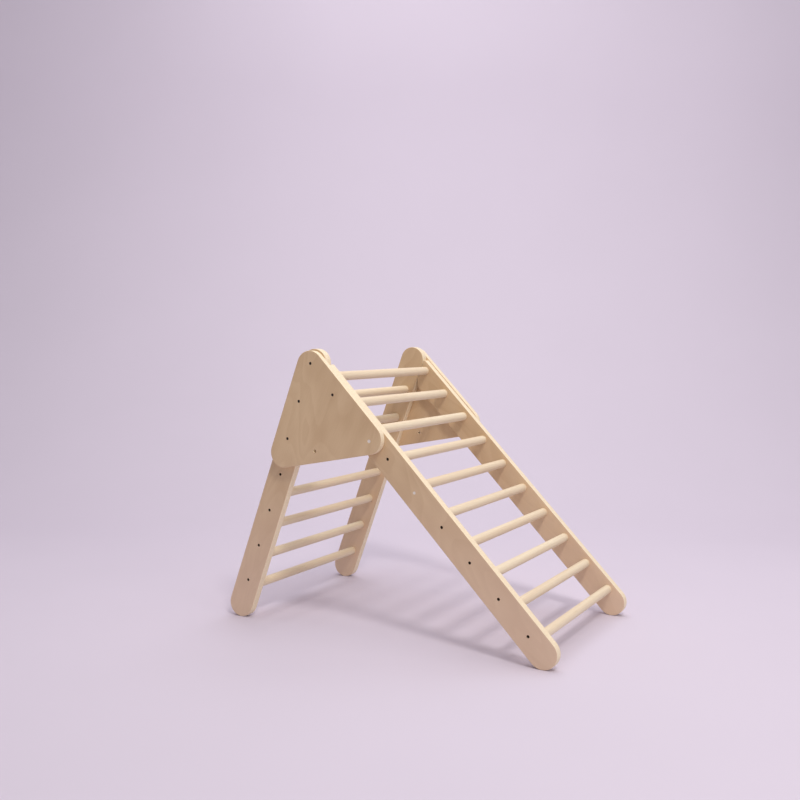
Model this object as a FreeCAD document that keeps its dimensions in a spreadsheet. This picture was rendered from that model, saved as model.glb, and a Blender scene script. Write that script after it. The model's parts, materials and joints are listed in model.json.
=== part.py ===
import FreeCAD
import Part
import Sketcher
import math
import os

# A child's folding climbing frame: a steep short ladder fixed to two rounded
# triangular side plates, and a longer ladder that swings on two bolts in them.
# +Z is up, the long ladder runs out along +X, the rungs lie along Y, and the
# origin is on the floor at the middle of the standing frame.
# Each side is named by where it lies: front is -Y and back is +Y.

vec = FreeCAD.Vector
doc = FreeCAD.newDocument("ClimbingFrame")
os.makedirs("parts", exist_ok=True)

# ---------------------------------------------------------------- sizes (mm)
sizes = [
    ("innerWidth", 584, "between the short rails, the rungs' clear length"),
    ("footDrop", 754, "foot centres below the point where the rail axes cross"),
    ("longAngle", 45.7, "long ladder's slope, degrees"),
    ("shortAngle", 70.2, "short ladder's slope, degrees"),
    ("railWidth", 86, "width of every rail"),
    ("railThickness", 27, "thickness of every rail"),
    ("plateThickness", 21, "thickness of a side plate"),
    ("plateMargin", 2.5, "how far a plate's edge stands outside a rail's edge"),
    ("plateShortReach", 281, "apex to the plate's corner on the short ladder"),
    ("cornerInset", 7.5, "the plate's other corner centre, before the lock pin"),
    ("edgeRound", 2, "rounding of rail and plate edges"),
    ("tipRound", 6, "rounding of the long rail's upper tip"),
    ("apexRise", 8, "short rail's top end above the crossing of the axes"),
    ("rungDiameter", 28, "every rung"),
    ("rungPitch", 106, "rung to rung on both ladders"),
    ("longFirstRung", 18, "first long rung, beyond half a rail's width from the crossing"),
    ("longRungRise", 18, "long ladder's rungs above the rails' middle"),
    ("shortFirstRung", 101, "crossing to the short ladder's first rung"),
    ("shortRungRise", 11, "short ladder's rungs towards the inside"),
    ("mortiseDepth", 12, "rung seat in a rail"),
    ("web", 1, "wood left between a rung seat and an outside hole"),
    ("holeDiameter", 9, "holes in the rails' outer faces"),
    ("longHolePitch", 125.6, "hole to hole on a long rail, counted from the pivot"),
    ("shortHolePitch", 121.2, "hole to hole on a short rail, from its top end"),
    ("plugPlace", 3, "which hole after the long rail's pivot holds the plug"),
    ("foldGap", 18, "between the rails' edges when folded"),
    ("lockReach", 180, "pivot to lock pin"),
    ("pinDiameter", 10, "lock pin"),
    ("lockDepth", 15, "lock hole in the long rail behind the pin"),
    ("pivotDiameter", 8, "pivot bolt's shank"),
    ("pivotWall", 3, "rail left inside the pivot bolt's end"),
    ("screwDiameter", 5, "plate screw's shank"),
    ("headDiameter", 9, "screw and bolt heads"),
    ("headHeight", 3.5, "screw and bolt heads"),
    ("headSink", 1.5, "heads below the plate's outer face"),
    ("faceGap", 0.5, "clearance between a plate and the swinging rail"),
    ("railGap", 1.5, "clearance between the long rail's top end and the short rail"),
    ("glueGap", 0.1, "radial clearance of glued and screwed pieces"),
    ("endGap", 0.5, "clearance at the end of a rung, pin or bolt"),
    ("pivotGap", 0.05, "radial clearance of the pivot bolt"),
]
sheet = doc.addObject("Spreadsheet::Sheet", "Sizes")
for row, (name, value, note) in enumerate(sizes, start=1):
    sheet.set("A%d" % row, name)
    sheet.set("B%d" % row, str(value))
    sheet.setAlias("B%d" % row, name)
    sheet.set("C%d" % row, note)
doc.recompute()
size = {name: float(sheet.get(name)) for name, value, note in sizes}

# ------------------------------------------------------- places worked out
half = size["railWidth"] / 2
longTurn = math.radians(size["longAngle"])
shortTurn = math.radians(size["shortAngle"])
foldTurn = math.pi - longTurn - shortTurn
alongLong = (math.cos(longTurn), -math.sin(longTurn))
aboveLong = (math.sin(longTurn), math.cos(longTurn))
alongShort = (-math.cos(shortTurn), -math.sin(shortTurn))
insideShort = (math.sin(shortTurn), -math.cos(shortTurn))

longReach = size["footDrop"] / math.sin(longTurn)
shortReach = size["footDrop"] / math.sin(shortTurn)
pivotReach = (size["railWidth"] + size["foldGap"]) / math.sin(foldTurn)
pinReach = pivotReach + size["lockReach"]
plateRadius = half + size["plateMargin"]
holeDepth = size["railThickness"] - size["mortiseDepth"] - size["web"]

crossX = (shortReach * math.cos(shortTurn) - longReach * math.cos(longTurn)) / 2
crossZ = size["footDrop"] + half
shortFace = size["innerWidth"] / 2
plateFace = shortFace + size["railThickness"]
longFace = shortFace - size["faceGap"]
outerFace = plateFace + size["plateThickness"]
sides = [("front", -1), ("back", 1)]


def onLong(reach, rise=0.0):
    # x and z, from the crossing of the axes, of a place on the long ladder
    return (reach * alongLong[0] + rise * aboveLong[0],
            reach * alongLong[1] + rise * aboveLong[1])


def onShort(reach, rise=0.0):
    # the same on the short ladder, rise counting towards the inside
    return (reach * alongShort[0] + rise * insideShort[0],
            reach * alongShort[1] + rise * insideShort[1])


def places(first, pitch, last):
    # evenly spaced places from first up to last
    count = int(math.floor((last - first) / pitch)) + 1
    return [first + pitch * step for step in range(count)]


longRungs = places(half + size["longFirstRung"], size["rungPitch"], longReach)
shortRungs = places(size["shortFirstRung"], size["rungPitch"], shortReach)
longHoles = [reach for reach in places(pivotReach, size["longHolePitch"], longReach)
             if reach > pinReach + plateRadius]
shortRow = places(-size["apexRise"], size["shortHolePitch"], shortReach)
screwReaches = [reach for reach in shortRow if reach < size["plateShortReach"]]
shortHoles = [reach for reach in shortRow
              if reach > size["plateShortReach"] + plateRadius]
plugReach = pivotReach + size["plugPlace"] * size["longHolePitch"]


# ------------------------------------------------------------------ helpers
def newSketch(body, name, side, depth=0.0):
    # a sketch in the body's XZ plane, moved outwards by depth
    plane = [item for item in body.Origin.OriginFeatures if item.Role == "XZ_Plane"][0]
    sketch = body.newObject("Sketcher::SketchObject", name)
    sketch.AttachmentSupport = [(plane, "")]
    sketch.MapMode = "FlatFace"
    sketch.AttachmentOffset = FreeCAD.Placement(vec(0, 0, -side * depth),
                                                FreeCAD.Rotation())
    return sketch


def drawOutline(sketch, steps):
    # steps are (end point) for a line and (middle point, end point) for an arc,
    # and the outline closes on the last step's end
    start = steps[-1][-1]
    count = len(steps)
    for step in steps:
        ends = vec(start[0], start[1], 0), vec(step[-1][0], step[-1][1], 0)
        if len(step) == 2:
            middle = vec(step[0][0], step[0][1], 0)
            sketch.addGeometry(Part.ArcOfCircle(ends[0], middle, ends[1]), False)
        else:
            sketch.addGeometry(Part.LineSegment(ends[0], ends[1]), False)
        start = step[-1]
    for index in range(count):
        following = (index + 1) % count
        sketch.addConstraint(Sketcher.Constraint(
            "Coincident", index, pointAt(sketch, index, steps[index][-1]),
            following, pointAt(sketch, following, steps[index][-1])))


def pointAt(sketch, index, place):
    # 1 or 2: the end of a line or arc that lies at the given place
    target = vec(place[0], place[1], 0)
    return min((1, 2), key=lambda end: sketch.getPoint(index, end).distanceToPoint(target))


def drawCircles(sketch, centres, diameter):
    # circles of one diameter, held at their centres; diameter is an expression
    for x, z in centres:
        index = sketch.addGeometry(
            Part.Circle(vec(x, z, 0), vec(0, 0, 1), 1.0), False)
        sketch.addConstraint(Sketcher.Constraint("DistanceX", -1, 1, index, 3, x))
        sketch.addConstraint(Sketcher.Constraint("DistanceY", -1, 1, index, 3, z))
        size_ = sketch.addConstraint(Sketcher.Constraint("Diameter", index, 2.0))
        sketch.setExpression("Constraints[%d]" % size_, diameter)


def addPad(body, name, sketch, side, length):
    pad = body.newObject("PartDesign::Pad", name)
    pad.Profile = sketch
    pad.Reversed = side > 0
    pad.setExpression("Length", length)
    doc.recompute()
    return pad


def addPocket(body, name, sketch, side, length, fromInside):
    # a pocket that starts on the inner face and goes out, or the other way
    before = body.Shape.Volume
    pocket = body.newObject("PartDesign::Pocket", name)
    pocket.Profile = sketch
    pocket.Reversed = (side < 0) == fromInside
    pocket.setExpression("Length", length)
    doc.recompute()
    if body.Shape.Volume >= before - 1.0:
        raise RuntimeError("%s took no wood away" % name)
    return pocket


def roundEdges(body, pad):
    # the outline's edges on both broad faces
    names = ["Edge%d" % (index + 1) for index, edge in enumerate(pad.Shape.Edges)
             if edge.BoundBox.YLength < 1e-6]
    fillet = body.newObject("PartDesign::Fillet", "RoundedEdges")
    fillet.Base = (pad, names)
    fillet.setExpression("Radius", "Sizes.edgeRound")
    doc.recompute()


def newBody(name, turn, y):
    # a body whose own X axis is turned down about Y, at the crossing of the axes
    body = doc.addObject("PartDesign::Body", name)
    body.Label = name
    body.Placement = FreeCAD.Placement(
        vec(crossX, y, crossZ), FreeCAD.Rotation(vec(0, 1, 0), math.degrees(turn)))
    return body


def newCylinder(name, place, y, side, diameter, length):
    # a cylinder that starts at y and runs out on its side along Y
    cylinder = doc.addObject("Part::Cylinder", name)
    cylinder.setExpression("Radius", "(%s) / 2" % diameter)
    cylinder.setExpression("Height", length)
    cylinder.Placement = FreeCAD.Placement(
        vec(crossX + place[0], y, crossZ + place[1]),
        FreeCAD.Rotation(vec(1, 0, 0), -90 * side))
    return cylinder


def newGroup(name, pieces):
    group = doc.addObject("Part::Compound", name)
    group.Label = name
    group.Links = pieces
    return group


# -------------------------------------------------------------------- rails
def roundCorner(before, corner, after, radius):
    # the steps that turn a sharp corner into an arc that touches both edges
    back = vec(before[0] - corner[0], before[1] - corner[1], 0).normalize()
    on = vec(after[0] - corner[0], after[1] - corner[1], 0).normalize()
    point = vec(corner[0], corner[1], 0)
    halfTurn = back.getAngle(on) / 2
    inward = (back + on).normalize()
    setback = radius / math.tan(halfTurn)
    touch = point + back * setback
    middle = point + inward * (radius / math.sin(halfTurn) - radius)
    leave = point + on * setback
    return [((touch.x, touch.y),), ((middle.x, middle.y), (leave.x, leave.y))]


def longOutline():
    # the top end is cut along the short rail's edge, and its lower corner is
    # as round as a foot, so that it clears that edge while folding
    edge = half + size["railGap"]
    slant = half * math.cos(foldTurn)
    upper = ((edge - slant) / math.sin(foldTurn), half)
    lower = ((edge + slant) / math.sin(foldTurn), -half)
    foot = (longReach, -half)
    return (roundCorner((longReach, half), upper, lower, size["tipRound"])
            + roundCorner(upper, lower, foot, half)
            + [(foot,), ((longReach + half, 0), (longReach, half))])


def shortOutline():
    top = -size["apexRise"]
    return [((top - half, 0), (top, -half)), ((shortReach, -half),),
            ((shortReach + half, 0), (shortReach, half)), ((top, half),)]


def addRail(name, side, turn, face, outline, rungs, holes):
    # a padded board with rung seats inside and blind holes outside
    body = newBody(name, turn, side * face)
    profile = newSketch(body, "Outline", side)
    drawOutline(profile, outline)
    pad = addPad(body, "Board", profile, side, "Sizes.railThickness")
    roundEdges(body, pad)
    seats = newSketch(body, "RungSeats", side)
    drawCircles(seats, rungs, "Sizes.rungDiameter + 2 * Sizes.glueGap")
    addPocket(body, "Mortises", seats, side, "Sizes.mortiseDepth", True)
    row = newSketch(body, "HoleRow", side, size["railThickness"])
    drawCircles(row, holes, "Sizes.holeDiameter")
    addPocket(body, "BlindHoles", row, side,
              "Sizes.railThickness - Sizes.mortiseDepth - Sizes.web", False)
    return body


def addSeat(body, name, side, place, diameter, length):
    # one more blind hole in a rail's outer face
    seat = newSketch(body, name + "Place", side, size["railThickness"])
    drawCircles(seat, [place], diameter)
    addPocket(body, name, seat, side, length, False)


nodes = []
for sideName, side in sides:
    rail = addRail("short_rail_" + sideName, side, math.pi - shortTurn, shortFace,
                   shortOutline(), [(reach, size["shortRungRise"]) for reach in shortRungs],
                   [(reach, 0) for reach in shortHoles])
    pilots = newSketch(rail, "ScrewPlaces", side, size["railThickness"])
    drawCircles(pilots, [(reach, 0) for reach in screwReaches],
                "Sizes.screwDiameter + 2 * Sizes.glueGap")
    addPocket(rail, "ScrewHoles", pilots, side,
              "Sizes.railThickness - Sizes.mortiseDepth - Sizes.web", False)
    nodes.append(rail)

for sideName, side in sides:
    rail = addRail("long_rail_" + sideName, side, longTurn, longFace, longOutline(),
                   [(reach, size["longRungRise"]) for reach in longRungs],
                   [(reach, 0) for reach in longHoles])
    addSeat(rail, "PivotHole", side, (pivotReach, 0),
            "Sizes.pivotDiameter + 2 * Sizes.pivotGap",
            "Sizes.railThickness - Sizes.pivotWall")
    addSeat(rail, "LockHole", side, (pinReach, 0),
            "Sizes.pinDiameter + 2 * Sizes.glueGap", "Sizes.lockDepth")
    nodes.append(rail)


# -------------------------------------------------------------- side plates
def plateOutline():
    # three equal round corners joined by straight edges
    centres = [(0.0, 0.0), onShort(size["plateShortReach"]),
               onLong(pinReach - size["cornerInset"])]
    normals = []
    for index, centre in enumerate(centres):
        ahead = centres[(index + 1) % 3]
        run = (ahead[0] - centre[0], ahead[1] - centre[1])
        length = math.hypot(run[0], run[1])
        normals.append((run[1] / length, -run[0] / length))
    steps = []
    for index, centre in enumerate(centres):
        before = normals[index - 1]
        after = normals[index]
        total = (before[0] + after[0], before[1] + after[1])
        length = math.hypot(total[0], total[1])
        steps.append(((centre[0] + plateRadius * total[0] / length,
                       centre[1] + plateRadius * total[1] / length),
                      (centre[0] + plateRadius * after[0],
                       centre[1] + plateRadius * after[1])))
        ahead = centres[(index + 1) % 3]
        steps.append(((ahead[0] + plateRadius * after[0],
                       ahead[1] + plateRadius * after[1]),))
    return steps


pinPlaces = [onLong(pinReach),
             tuple(a + size["lockReach"] * b for a, b in zip(onLong(pivotReach), alongShort))]
screwPlaces = [onShort(reach) for reach in screwReaches]
for sideName, side in sides:
    plate = newBody("plate_" + sideName, 0.0, side * plateFace)
    profile = newSketch(plate, "Outline", side)
    drawOutline(profile, plateOutline())
    pad = addPad(plate, "Board", profile, side, "Sizes.plateThickness")
    roundEdges(plate, pad)
    locks = newSketch(plate, "LockPlaces", side, size["plateThickness"])
    drawCircles(locks, pinPlaces, "Sizes.pinDiameter + 2 * Sizes.glueGap")
    addPocket(plate, "LockHoles", locks, side, "Sizes.plateThickness", False)
    heads = newSketch(plate, "HeadPlaces", side, size["plateThickness"])
    drawCircles(heads, screwPlaces + [onLong(pivotReach)],
                "Sizes.headDiameter + 2 * Sizes.glueGap")
    addPocket(plate, "HeadSinks", heads, side, "Sizes.headHeight + Sizes.headSink", False)
    shanks = newSketch(plate, "ScrewPlaces", side, size["plateThickness"])
    drawCircles(shanks, screwPlaces, "Sizes.screwDiameter + 2 * Sizes.glueGap")
    addPocket(plate, "ScrewHoles", shanks, side, "Sizes.plateThickness", False)
    shaft = newSketch(plate, "PivotPlace", side, size["plateThickness"])
    drawCircles(shaft, [onLong(pivotReach)], "Sizes.pivotDiameter + 2 * Sizes.pivotGap")
    addPocket(plate, "PivotHole", shaft, side, "Sizes.plateThickness", False)
    nodes.append(plate)


# -------------------------------------------------------------------- rungs
def addRungs(name, rungPlaces, gap):
    # round rungs glued into the seats of both rails
    length = "Sizes.innerWidth - 2 * %s + 2 * (Sizes.mortiseDepth - Sizes.endGap)" % gap
    for index, place in enumerate(rungPlaces, start=1):
        rung = newCylinder("%s_%02d" % (name, index), place, 0.0, 1,
                           "Sizes.rungDiameter", length)
        doc.recompute()
        rung.Placement.Base.y = -rung.Height.Value / 2
        rung.Label = "%s_%02d" % (name, index)
        nodes.append(rung)


addRungs("short_rung", [onShort(reach, size["shortRungRise"]) for reach in shortRungs], "0")
addRungs("long_rung", [onLong(reach, size["longRungRise"]) for reach in longRungs],
         "Sizes.faceGap")


# ---------------------------------------------------------------- fasteners
def addHeaded(name, place, side, diameter, depth):
    # a head sunk in the plate and a shank that goes depth into the rail
    head = newCylinder(name + "Head", place,
                       side * (outerFace - size["headSink"] - size["headHeight"]), side,
                       "Sizes.headDiameter", "Sizes.headHeight")
    shank = newCylinder(name + "Shank", place, side * (plateFace - depth), side, diameter,
                        "Sizes.plateThickness - Sizes.headSink + %s" % depth)
    whole = doc.addObject("Part::MultiFuse", name)
    whole.Shapes = [head, shank]
    return whole


screws = []
bolts = []
pins = []
plugs = []
for sideName, side in sides:
    for index, place in enumerate(screwPlaces, start=1):
        screws.append(addHeaded("Screw_%s_%d" % (sideName, index), place, side,
                                "Sizes.screwDiameter", holeDepth - size["endGap"]))
    boltDepth = size["railThickness"] - size["pivotWall"] + size["faceGap"] - size["endGap"]
    bolts.append(addHeaded("Bolt_" + sideName, onLong(pivotReach), side,
                           "Sizes.pivotDiameter", boltDepth))
    pins.append(newCylinder(
        "Pin_" + sideName, onLong(pinReach), side * (plateFace + size["endGap"]), side,
        "Sizes.pinDiameter", "Sizes.plateThickness - 2 * Sizes.endGap"))
    longOuter = longFace + size["railThickness"]
    plugs.append(newCylinder(
        "Plug_" + sideName, onLong(plugReach), side * (longOuter - holeDepth), side,
        "Sizes.holeDiameter - 2 * Sizes.glueGap",
        "Sizes.railThickness - Sizes.mortiseDepth - Sizes.web - Sizes.endGap"))
nodes.append(newGroup("plate_screws", screws))
nodes.append(newGroup("pivot_bolts", bolts))
nodes.append(newGroup("lock_pins", pins))
nodes.append(newGroup("rail_plugs", plugs))

# ------------------------------------------------------------ check, export
doc.recompute()
for item in doc.Objects:
    if "Invalid" in item.State or "Error" in item.State:
        raise RuntimeError("%s is not valid" % item.Name)
for node in nodes:
    if node.Shape.isNull() or not node.Shape.isValid():
        raise RuntimeError("%s has no valid shape" % node.Label)
for node in nodes:
    node.Shape.exportStep("parts/%s.step" % node.Label)
print("pieces written: %d" % len(nodes))
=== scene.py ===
import bmesh
import bpy
import json
import math
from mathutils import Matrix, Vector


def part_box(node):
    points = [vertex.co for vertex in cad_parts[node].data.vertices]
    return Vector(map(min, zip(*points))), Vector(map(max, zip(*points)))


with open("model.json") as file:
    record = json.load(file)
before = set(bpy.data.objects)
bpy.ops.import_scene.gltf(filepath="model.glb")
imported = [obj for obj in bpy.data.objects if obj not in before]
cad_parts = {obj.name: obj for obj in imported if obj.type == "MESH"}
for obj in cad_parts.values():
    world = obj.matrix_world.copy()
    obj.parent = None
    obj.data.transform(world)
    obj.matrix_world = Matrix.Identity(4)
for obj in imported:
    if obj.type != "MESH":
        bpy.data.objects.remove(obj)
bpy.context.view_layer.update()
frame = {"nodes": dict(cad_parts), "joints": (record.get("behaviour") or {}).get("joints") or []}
print("frame loaded, %d nodes" % len(frame["nodes"]))

# the pivot comes from the frame; the slopes and sizes repeat the part's own, in metres
fold = frame["joints"][0]
pivot = fold["pos_m"]
boards = {
    "longSlope": math.radians(45.7),
    "shortSlope": math.radians(70.2),
    "halfWidth": 0.043,
    "foldGap": 0.018,
    "apexRise": 0.008,
    "longHolePitch": 0.1256,
    "shortHolePitch": 0.1212,
    "holeReach": 0.0062,
    "alone": 9.0,             # a pitch so long that its row has only one hole
}
foldTurn = math.pi - boards["longSlope"] - boards["shortSlope"]
pivotReach = (2 * boards["halfWidth"] + boards["foldGap"]) / math.sin(foldTurn)
crossing = (pivot[0] - pivotReach * math.cos(boards["longSlope"]), 0.0,
            pivot[2] + pivotReach * math.sin(boards["longSlope"]))
pivot = (pivot[0], 0.0, pivot[2])


def layersOf(node):
    # how far from the middle plane a board's inner and outer faces are
    low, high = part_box(node)
    return min(abs(low[1]), abs(high[1])), max(abs(low[1]), abs(high[1]))


# small helpers for node trees
def newTree(name):
    material = bpy.data.materials.new(name)
    material.use_nodes = True
    tree = material.node_tree
    tree.nodes.clear()
    output = tree.nodes.new("ShaderNodeOutputMaterial")
    shader = tree.nodes.new("ShaderNodeBsdfPrincipled")
    tree.links.new(shader.outputs["BSDF"], output.inputs["Surface"])
    return material, tree, shader


def plug(tree, socket, value):
    # a socket takes either another node's output or a plain value
    if isinstance(value, bpy.types.NodeSocket):
        tree.links.new(value, socket)
    else:
        socket.default_value = value


def calc(tree, operation, first, second=0.0, clamp=False):
    node = tree.nodes.new("ShaderNodeMath")
    node.operation = operation
    node.use_clamp = clamp
    for socket, value in zip(node.inputs, (first, second)):
        plug(tree, socket, value)
    return node.outputs[0]


def ramp(tree, value, low, high, start=0.0, end=1.0):
    # a smooth step from start at low to end at high
    node = tree.nodes.new("ShaderNodeMapRange")
    node.interpolation_type = "SMOOTHSTEP"
    for name, number in (("Value", value), ("From Min", low), ("From Max", high),
                         ("To Min", start), ("To Max", end)):
        plug(tree, node.inputs[name], number)
    return node.outputs["Result"]


def blendColours(tree, amount, first, second):
    node = tree.nodes.new("ShaderNodeMix")
    node.data_type = "RGBA"
    plug(tree, node.inputs["Factor"], amount)
    plug(tree, node.inputs["A"], (*first, 1.0) if isinstance(first, tuple) else first)
    plug(tree, node.inputs["B"], (*second, 1.0) if isinstance(second, tuple) else second)
    return node.outputs["Result"]


def noise(tree, vector, scale, detail=3.0, rough=0.55, distort=0.0):
    node = tree.nodes.new("ShaderNodeTexNoise")
    plug(tree, node.inputs["Vector"], vector)
    node.inputs["Scale"].default_value = scale
    node.inputs["Detail"].default_value = detail
    node.inputs["Roughness"].default_value = rough
    node.inputs["Distortion"].default_value = distort
    return node.outputs["Fac"]


def stretched(tree, vector, stretch, shift=(0.0, 0.0, 0.0)):
    node = tree.nodes.new("ShaderNodeMapping")
    plug(tree, node.inputs["Vector"], vector)
    node.inputs["Location"].default_value = shift
    node.inputs["Scale"].default_value = stretch
    return node.outputs["Vector"]


def boardAxes(tree, slope, origin):
    # along the board, through its thickness, and across it, from the origin
    coordinates = tree.nodes.new("ShaderNodeTexCoord")
    placing = tree.nodes.new("ShaderNodeMapping")
    placing.vector_type = "TEXTURE"
    placing.inputs["Location"].default_value = origin
    placing.inputs["Rotation"].default_value = (0.0, slope, 0.0)
    tree.links.new(coordinates.outputs["Object"], placing.inputs["Vector"])
    parts = tree.nodes.new("ShaderNodeSeparateXYZ")
    tree.links.new(placing.outputs["Vector"], parts.inputs["Vector"])
    facing = tree.nodes.new("ShaderNodeSeparateXYZ")
    tree.links.new(coordinates.outputs["Normal"], facing.inputs["Vector"])
    return placing.outputs["Vector"], parts.outputs, calc(
        tree, "ABSOLUTE", facing.outputs["Y"])


def nearHole(tree, slope, origin, first, pitch):
    # 1 within holeReach, a little over a hole's radius, of any point of an even row
    parts = boardAxes(tree, slope, origin)[1]
    along = calc(tree, "PINGPONG", calc(tree, "SUBTRACT", parts["X"], first), pitch / 2)
    across = calc(tree, "MULTIPLY", parts["Z"], parts["Z"])
    apart = calc(tree, "SQRT", calc(tree, "ADD", calc(tree, "MULTIPLY", along, along),
                                    across))
    return calc(tree, "LESS_THAN", apart, boards["holeReach"])


def addBump(tree, shader, height, strength, distance):
    node = tree.nodes.new("ShaderNodeBump")
    node.inputs["Strength"].default_value = strength
    node.inputs["Distance"].default_value = distance
    tree.links.new(height, node.inputs["Height"])
    tree.links.new(node.outputs["Normal"], shader.inputs["Normal"])


# birch plywood, for the rails and the plates
plywood = {
    "face": (0.74, 0.55, 0.335),
    "faceDark": (0.56, 0.375, 0.205),
    "flame": 0.62,            # strength of the broad figure
    "fibre": 0.14,            # strength of the fine fibres
    "ringRise": 0.12,         # share of a growth ring in which it darkens
    "ringShare": 0.30,
    "cloudShare": 0.70,
    "fleckStrength": 0.35,
    "paleFoot": (0.80, 0.60, 0.47),
    "footTint": 0.55,
    "footHeights": (0.02, 0.62),
    "edgeLight": (0.92, 0.81, 0.60),
    "edgeDark": (0.70, 0.53, 0.33),
    "plies": 11,
    "plyContrast": 0.45,
    "grainContrast": 0.35,
    "seamContrast": 0.4,
    "plateGrain": math.radians(68.0),
    # how often each pattern repeats along, through and across the board, per metre
    "broad": (2.6, 3.0, 7.0),
    "cloud": (3.5, 4.0, 8.0),
    "fibres": (22.0, 40.0, 900.0),
    "flecks": (60.0, 60.0, 1100.0),
    "endGrain": (700.0, 60.0, 700.0),
    "ringCount": 9.0,
    "railShift": (3.1, 1.7, 2.3),
    "plateShift": (7.7, 3.9, 5.2),
    # painted shade: the dark brown laid into the insides of the holes, and how strongly it is laid on
    "holeShadeColour": (0.13, 0.075, 0.045),
    "holeShadeStrength": 0.93,
    "roughness": 0.52,
    "unevenness": 0.35,
    "specular": 0.38,
}


def plywoodMaterial(name, node, slope, grainTurn, shift, holes):
    # holes lists rows as slope, origin, first place and pitch
    material, tree, shader = newTree(name)
    place, parts, flatness = boardAxes(tree, slope, crossing)
    inner, outer = layersOf(node)
    grain = tree.nodes.new("ShaderNodeMapping")
    grain.inputs["Rotation"].default_value = (0.0, grainTurn, 0.0)
    tree.links.new(place, grain.inputs["Vector"])
    grain = grain.outputs["Vector"]

    broad = noise(tree, stretched(tree, grain, plywood["broad"], shift), 1.0, 1.5, 0.5, 0.8)
    rings = calc(tree, "FRACT", calc(tree, "MULTIPLY", broad, plywood["ringCount"]))
    rings = calc(tree, "MULTIPLY", ramp(tree, rings, 0.0, plywood["ringRise"]),
                 ramp(tree, rings, plywood["ringRise"], 1.0, 1.0, 0.0))
    cloud = ramp(tree, noise(tree, stretched(tree, grain, plywood["cloud"], shift),
                             1.0, 2.0), 0.35, 0.65)
    fibres = noise(tree, stretched(tree, grain, plywood["fibres"], shift), 1.0, 4.0, 0.7)
    flecks = ramp(tree, noise(tree, stretched(tree, grain, plywood["flecks"], shift),
                              1.0, 1.0), 0.66, 0.78)
    figure = calc(tree, "ADD", calc(tree, "MULTIPLY", rings, plywood["ringShare"]),
                  calc(tree, "MULTIPLY", cloud, plywood["cloudShare"]))
    figure = calc(tree, "MULTIPLY", figure, plywood["flame"])
    figure = calc(tree, "ADD", figure,
                  calc(tree, "MULTIPLY", ramp(tree, fibres, 0.35, 0.7), plywood["fibre"]),
                  clamp=True)
    face = blendColours(tree, figure, plywood["face"], plywood["faceDark"])
    face = blendColours(tree, calc(tree, "MULTIPLY", flecks, plywood["fleckStrength"]),
                        face, plywood["faceDark"])
    # a pink tint low on the boards, standing in for light bounced up from the lilac floor
    heights = tree.nodes.new("ShaderNodeSeparateXYZ")
    coordinates = tree.nodes.new("ShaderNodeTexCoord")
    tree.links.new(coordinates.outputs["Object"], heights.inputs["Vector"])
    foot = ramp(tree, heights.outputs["Z"], *plywood["footHeights"], plywood["footTint"], 0.0)
    face = blendColours(tree, foot, face, plywood["paleFoot"])

    depth = calc(tree, "SUBTRACT", calc(tree, "ABSOLUTE", parts["Y"]), inner)
    layer = calc(tree, "MULTIPLY", depth, plywood["plies"] / (outer - inner))
    odd = calc(tree, "PINGPONG", calc(tree, "FLOOR", layer), 1.0)
    endGrain = noise(tree, stretched(tree, place, plywood["endGrain"], shift), 1.0, 2.0, 0.6)
    edge = blendColours(tree, calc(tree, "MULTIPLY", odd, plywood["plyContrast"]),
                        plywood["edgeLight"], plywood["edgeDark"])
    edge = blendColours(tree, ramp(tree, endGrain, 0.3, 0.75, 0.0, plywood["grainContrast"]),
                        edge, plywood["edgeDark"])
    seam = calc(tree, "ABSOLUTE", calc(tree, "SUBTRACT", calc(tree, "FRACT", layer), 0.5))
    edge = blendColours(tree, ramp(tree, seam, 0.45, 0.5, 0.0, plywood["seamContrast"]),
                        edge, plywood["edgeDark"])
    isFace = ramp(tree, flatness, 0.55, 0.75)
    colour = blendColours(tree, isFace, edge, face)

    # Painted shade: inside the holes the colour is pulled towards a dark brown, standing in for the shade
    # that falls in them; the same mask also makes them rougher.
    below = calc(tree, "SUBTRACT", outer, calc(tree, "ABSOLUTE", parts["Y"]))
    hole = calc(tree, "MULTIPLY", ramp(tree, below, 0.0002, 0.0012),
                ramp(tree, depth, 0.0001, 0.0004))
    rows = [nearHole(tree, *row) for row in holes]
    beside = rows[0]
    for row in rows[1:]:
        beside = calc(tree, "MAXIMUM", beside, row)
    hole = calc(tree, "MULTIPLY", hole, beside)
    colour = blendColours(tree, calc(tree, "MULTIPLY", hole, plywood["holeShadeStrength"]),
                          colour, plywood["holeShadeColour"])
    tree.links.new(colour, shader.inputs["Base Color"])
    polish = calc(tree, "ADD", plywood["roughness"],
                  calc(tree, "MULTIPLY", calc(tree, "SUBTRACT", fibres, 0.5),
                       plywood["unevenness"]))
    tree.links.new(calc(tree, "ADD", polish, calc(tree, "MULTIPLY", hole, 0.3)),
                   shader.inputs["Roughness"])
    shader.inputs["Specular IOR Level"].default_value = plywood["specular"]
    addBump(tree, shader, calc(tree, "ADD", fibres, calc(tree, "MULTIPLY", endGrain, 0.4)),
            0.35, 0.0006)
    return material


# the round rungs
dowel = {
    "wood": (0.81, 0.705, 0.52),
    "woodDark": (0.71, 0.555, 0.38),
    "streakShare": 0.45,
    "wanderShare": 0.30,
    "rungTone": (-0.10, 0.22),
    "poreStrength": 0.3,
    "roughness": 0.45,
    "unevenness": 0.15,
    "specular": 0.4,
    # repeats across and along a rung, per metre
    "streaks": (320.0, 5.0, 320.0),
    "wander": (70.0, 2.0, 70.0),
    "pores": (900.0, 45.0, 900.0),
    "rungToRung": (19.0, 0.0, 19.0),
}


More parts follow.
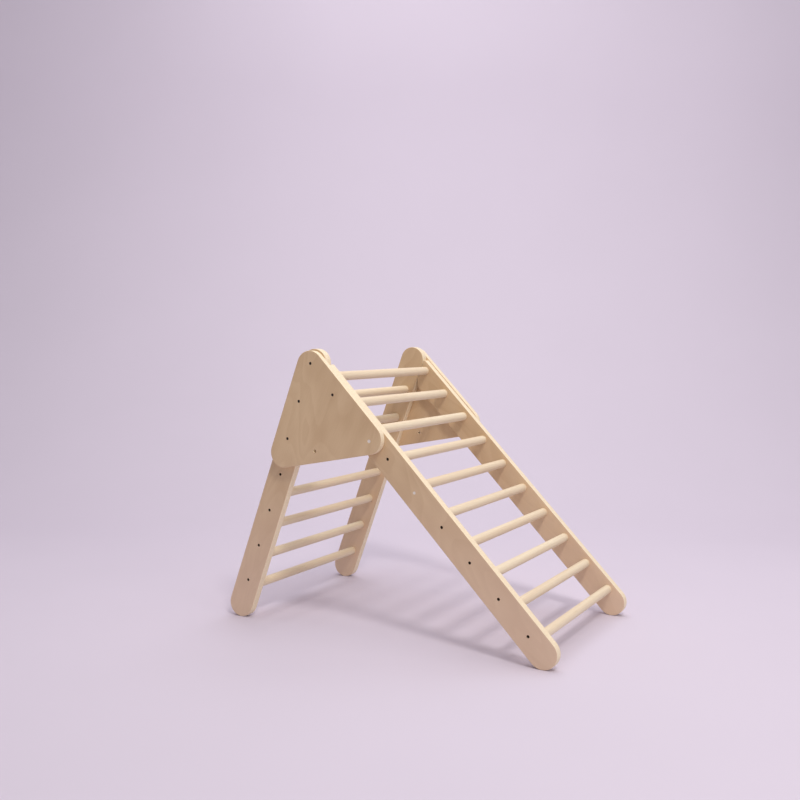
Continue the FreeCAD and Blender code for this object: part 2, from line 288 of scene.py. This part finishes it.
def dowelMaterial():
    material, tree, shader = newTree("sandedDowel")
    coordinates = tree.nodes.new("ShaderNodeTexCoord")
    place = coordinates.outputs["Object"]
    streaks = noise(tree, stretched(tree, place, dowel["streaks"]), 1.0, 4.0, 0.65, 0.3)
    wander = noise(tree, stretched(tree, place, dowel["wander"]), 1.0, 2.0, 0.5)
    pores = ramp(tree, noise(tree, stretched(tree, place, dowel["pores"]), 1.0, 1.0),
                 0.64, 0.75)
    each = noise(tree, stretched(tree, place, dowel["rungToRung"]), 1.0, 0.0)
    tone = calc(tree, "ADD",
                calc(tree, "MULTIPLY", ramp(tree, streaks, 0.3, 0.75), dowel["streakShare"]),
                calc(tree, "MULTIPLY", ramp(tree, wander, 0.3, 0.7), dowel["wanderShare"]))
    tone = calc(tree, "ADD", tone, ramp(tree, each, 0.3, 0.7, *dowel["rungTone"]),
                clamp=True)
    colour = blendColours(tree, tone, dowel["wood"], dowel["woodDark"])
    colour = blendColours(tree, calc(tree, "MULTIPLY", pores, dowel["poreStrength"]),
                          colour, dowel["woodDark"])
    tree.links.new(colour, shader.inputs["Base Color"])
    tree.links.new(calc(tree, "ADD", dowel["roughness"],
                        calc(tree, "MULTIPLY", streaks, dowel["unevenness"])), shader.inputs["Roughness"])
    shader.inputs["Specular IOR Level"].default_value = dowel["specular"]
    addBump(tree, shader, streaks, 0.25, 0.0004)
    return material


# screws and bolts are black; the pins and the rails' plugs are painted a pale, non-metallic colour, a
# painted highlight standing in for the bright glint on their ends
fittings = {
    "blackenedSteel": {"colour": (0.030, 0.019, 0.014), "worn": (0.075, 0.05, 0.037),
                       "roughness": 0.6, "metallic": 0.3},
    "glintPaintedPin": {"colour": (0.86, 0.80, 0.74), "worn": (0.74, 0.66, 0.58),
                "roughness": 0.35, "metallic": 0.0},
}


def fittingMaterial(name):
    finish = fittings[name]
    material, tree, shader = newTree(name)
    coordinates = tree.nodes.new("ShaderNodeTexCoord")
    grit = noise(tree, coordinates.outputs["Object"], 900.0, 3.0, 0.6)
    tree.links.new(blendColours(tree, ramp(tree, grit, 0.35, 0.8), finish["colour"],
                                finish["worn"]), shader.inputs["Base Color"])
    tree.links.new(calc(tree, "ADD", finish["roughness"],
                        calc(tree, "MULTIPLY", grit, 0.2)), shader.inputs["Roughness"])
    shader.inputs["Metallic"].default_value = finish["metallic"]
    addBump(tree, shader, grit, 0.2, 0.0002)
    return material


def dress(node, material):
    shown = frame["nodes"][node]
    shown.data.materials.clear()
    shown.data.materials.append(material)


turns = {"long": boards["longSlope"], "short": math.pi - boards["shortSlope"]}
holeRows = {"long": (pivotReach, boards["longHolePitch"]),
            "short": (-boards["apexRise"], boards["shortHolePitch"])}
railShift, plateShift = plywood["railShift"], plywood["plateShift"]
for index, side in enumerate(("front", "back")):
    for kind, turn in turns.items():
        node = "%s_rail_%s" % (kind, side)
        dress(node, plywoodMaterial(kind + side.title() + "Rail", node, turn, 0.0,
                                    (railShift[0] * index + len(kind), railShift[1],
                                     railShift[2] + index),
                                    [(turn, crossing, *holeRows[kind])]))
    node = "plate_" + side
    dress(node, plywoodMaterial(side + "Plate", node, 0.0, plywood["plateGrain"],
                                (plateShift[0] + index, *plateShift[1:]),
                                [(turns["short"], crossing, *holeRows["short"]),
                                 (turns["long"], pivot, 0.0, boards["alone"])]))
rungWood = dowelMaterial()
for node in frame["nodes"]:
    if "rung" in node:
        dress(node, rungWood)
print("wood finished")

blackSteel = fittingMaterial("blackenedSteel")
glintPaintedPin = fittingMaterial("glintPaintedPin")
dress("plate_screws", blackSteel)
dress("pivot_bolts", blackSteel)
# painted highlight: the pins and the rails' plugs get the pale paint in place of the glint on them
dress("lock_pins", glintPaintedPin)
dress("rail_plugs", glintPaintedPin)
print("metal finished")

# floor, backdrop and air
studio = {
    "lilac": (0.675, 0.615, 0.71),
    "floorHalf": 7.0,
    "backDistance": 1.3,
    "sweepRadius": 2.6,
    "wallHeight": 7.0,
    "curveSteps": 32,
    "mottle": 0.96,
    "air": (1.0, 0.95, 1.0),
    "airStrength": 0.36,
}


def studioMaterial():
    material, tree, shader = newTree("lilacPaper")
    coordinates = tree.nodes.new("ShaderNodeTexCoord")
    mottling = noise(tree, coordinates.outputs["Object"], 1.3, 2.0)
    fine = noise(tree, coordinates.outputs["Object"], 260.0, 2.0)
    darker = tuple(studio["mottle"] * part for part in studio["lilac"])
    tree.links.new(blendColours(tree, mottling, studio["lilac"], darker),
                   shader.inputs["Base Color"])
    shader.inputs["Roughness"].default_value = 0.85
    shader.inputs["Specular IOR Level"].default_value = 0.2
    addBump(tree, shader, fine, 0.05, 0.0005)
    return material


def buildSweep():
    # a floor that curves up into a wall behind, square to the camera's turn
    profile = [(-studio["floorHalf"], 0.0), (studio["backDistance"], 0.0)]
    radius = studio["sweepRadius"]
    for step in range(1, studio["curveSteps"] + 1):
        angle = math.radians(90.0 * step / studio["curveSteps"])
        profile.append((studio["backDistance"] + radius * math.sin(angle),
                        radius * (1.0 - math.cos(angle))))
    profile.append((studio["backDistance"] + radius, studio["wallHeight"]))
    mesh = bmesh.new()
    rows = []
    for depth, height in profile:
        rows.append([mesh.verts.new((side * studio["floorHalf"], depth, height))
                     for side in (-1.0, 1.0)])
    for near, far in zip(rows, rows[1:]):
        face = mesh.faces.new((near[0], near[1], far[1], far[0]))
        face.smooth = True
    data = bpy.data.meshes.new("sweep")
    mesh.to_mesh(data)
    mesh.free()
    sweep = bpy.data.objects.new("sweep", data)
    sweep.rotation_euler = (0.0, 0.0, camera["turn"])
    data.materials.append(studioMaterial())
    bpy.context.collection.objects.link(sweep)


camera = {
    "place": (1.4431, -2.802, 0.8961),
    "turn": 0.5077,
    "tilt": 0.0672,
    "roll": 0.0084,
    "lens": 45.15,
    "sensor": 36.0,
    "farthest": 60.0,
    "shift": (0.0, 0.0008),
}


def addCamera():
    data = bpy.data.cameras.new("studioCamera")
    data.lens = camera["lens"]
    data.sensor_width = camera["sensor"]
    data.shift_x, data.shift_y = camera["shift"]
    data.clip_end = camera["farthest"]
    eye = bpy.data.objects.new("studioCamera", data)
    eye.location = camera["place"]
    eye.rotation_euler = (math.pi / 2 - camera["tilt"], -camera["roll"], camera["turn"])
    bpy.context.collection.objects.link(eye)
    bpy.context.scene.camera = eye


lights = {
    "key": {"place": (2.35, -2.15, 4.7), "aim": (0.0, 0.0, 0.3), "size": 0.85,
            "power": 98.0, "colour": (1.0, 0.97, 0.93)},
    "side": {"place": (4.6, -1.6, 1.9), "aim": (0.0, 0.0, 0.3), "size": 2.4,
             "power": 40.0, "colour": (1.0, 0.97, 0.95)},
    "top": {"place": (-0.5, 0.9, 4.4), "aim": (-0.5, 0.9, 0.0), "size": 4.0,
            "power": 92.0, "colour": (1.0, 0.98, 0.98)},
    "back": {"place": (1.6, 0.2, 4.6), "aim": (-1.6, 3.4, 2.2), "size": 2.0,
             "power": 34.0, "colour": (1.0, 0.98, 0.98)},
}


def addLights():
    for name, light in lights.items():
        data = bpy.data.lights.new(name, "AREA")
        data.shape = "SQUARE"
        data.size = light["size"]
        data.energy = light["power"]
        data.color = light["colour"]
        lamp = bpy.data.objects.new(name, data)
        lamp.location = light["place"]
        aim = [target - start for target, start in zip(light["aim"], light["place"])]
        level = math.hypot(aim[0], aim[1])
        lamp.rotation_euler = (math.atan2(level, -aim[2]), 0.0,
                               math.atan2(-aim[0], aim[1]))
        bpy.context.collection.objects.link(lamp)
    world = bpy.data.worlds.new("studioAir")
    world.use_nodes = True
    air = world.node_tree.nodes["Background"]
    air.inputs["Color"].default_value = (*studio["air"], 1.0)
    air.inputs["Strength"].default_value = studio["airStrength"]
    bpy.context.scene.world = world


buildSweep()
addCamera()
addLights()
bpy.context.scene.view_settings.view_transform = "Standard"
print("studio finished")
